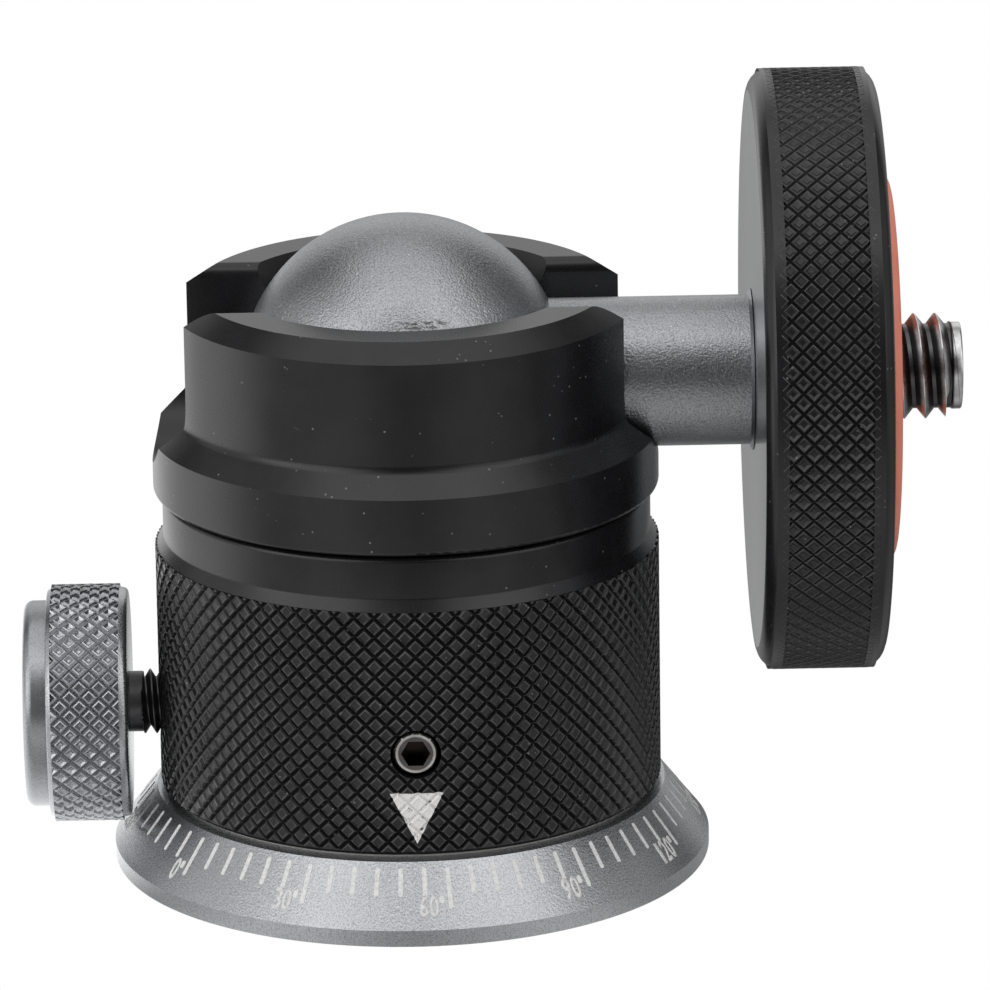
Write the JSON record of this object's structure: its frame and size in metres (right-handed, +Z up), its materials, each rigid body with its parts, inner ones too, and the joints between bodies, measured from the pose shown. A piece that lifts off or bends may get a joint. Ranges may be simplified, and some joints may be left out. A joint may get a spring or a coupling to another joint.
{
  "type": "tripod ball head",
  "caption": "Small tripod ball head with a panning base, twist-lock barrel, side lock knob and a knurled camera platform on a slotted ball stem.",
  "frame": {"origin": "centre of the base's underside, on the tripod screw's axis", "axes": "+Z up along the pan axis; +X along the stem towards the camera platform at rest; the lock knob is at -X and the retaining screw at -Y"},
  "size_m": [0.0565, 0.036, 0.0476],
  "materials": {
    "silver_aluminium": "blasted",
    "black_aluminium": "satin anodised",
    "ball_aluminium": "blasted",
    "plain_steel": "plain",
    "stud_steel": "turned",
    "black_steel": "blackened",
    "slug_brass": "turned",
    "slide_plastic": "plain",
    "seat_plastic": "plain",
    "seal_rubber": "plain",
    "red_rubber": "plain"
  },
  "bodies": {
    "base": {"panning_base": "silver_aluminium", "thread_bush": "plain_steel", "pan_washer": "slide_plastic"},
    "barrel": {"knurled_barrel": "black_aluminium", "retaining_screw": "plain_steel", "retaining_tip": "slide_plastic", "hub_washer": "slide_plastic", "thrust_washer": "plain_steel", "seat_spring": "plain_steel", "ball_seat": "seat_plastic"},
    "casing": {"upper_casing": "black_aluminium", "seam_ring": "seal_rubber"},
    "ball": {"ball_stem": "ball_aluminium"},
    "platform": {"platform_disc": "black_aluminium", "platform_pad": "red_rubber", "stud_washer": "plain_steel", "camera_stud": "stud_steel"},
    "lock_slug": {"brake_slug": "slug_brass"},
    "lock_knob": {"lock_screw": "black_steel", "lock_grip": "ball_aluminium", "grip_cap": "ball_aluminium"}
  },
  "joints": [
    {"name": "pan_rotation", "type": "hinge", "parent": "base", "child": "barrel", "pos_m": [0, 0, 0], "axis": [0, 0, 1], "continuous": true},
    {"name": "ball_lock_twist", "type": "hinge", "parent": "barrel", "child": "casing", "pos_m": [0, 0, 0.02315], "axis": [0, 0, -1], "range_deg": [0, 40]},
    {"name": "ball_tilt", "type": "hinge", "parent": "casing", "child": "ball", "pos_m": [0, 0, 0.0297], "axis": [0, -1, 0], "range_deg": [0, 160]},
    {"name": "platform_spin", "type": "hinge", "parent": "ball", "child": "platform", "pos_m": [0.0208, 0, 0.0297], "axis": [1, 0, 0], "continuous": true},
    {"name": "lock_slug_slide", "type": "slide", "parent": "barrel", "child": "lock_slug", "axis": [1, 0, 0], "range_m": [-0.00105, 0.00017]},
    {"name": "lock_knob_turn", "type": "hinge", "parent": "lock_slug", "child": "lock_knob", "pos_m": [-0.0169, 0, 0.00955], "axis": [1, 0, 0], "range_deg": [-541, 91]}
  ],
  "couplings": [
    {"joint": "lock_knob_turn", "follows": "lock_slug_slide", "rad_per_m": 8976}
  ]
}
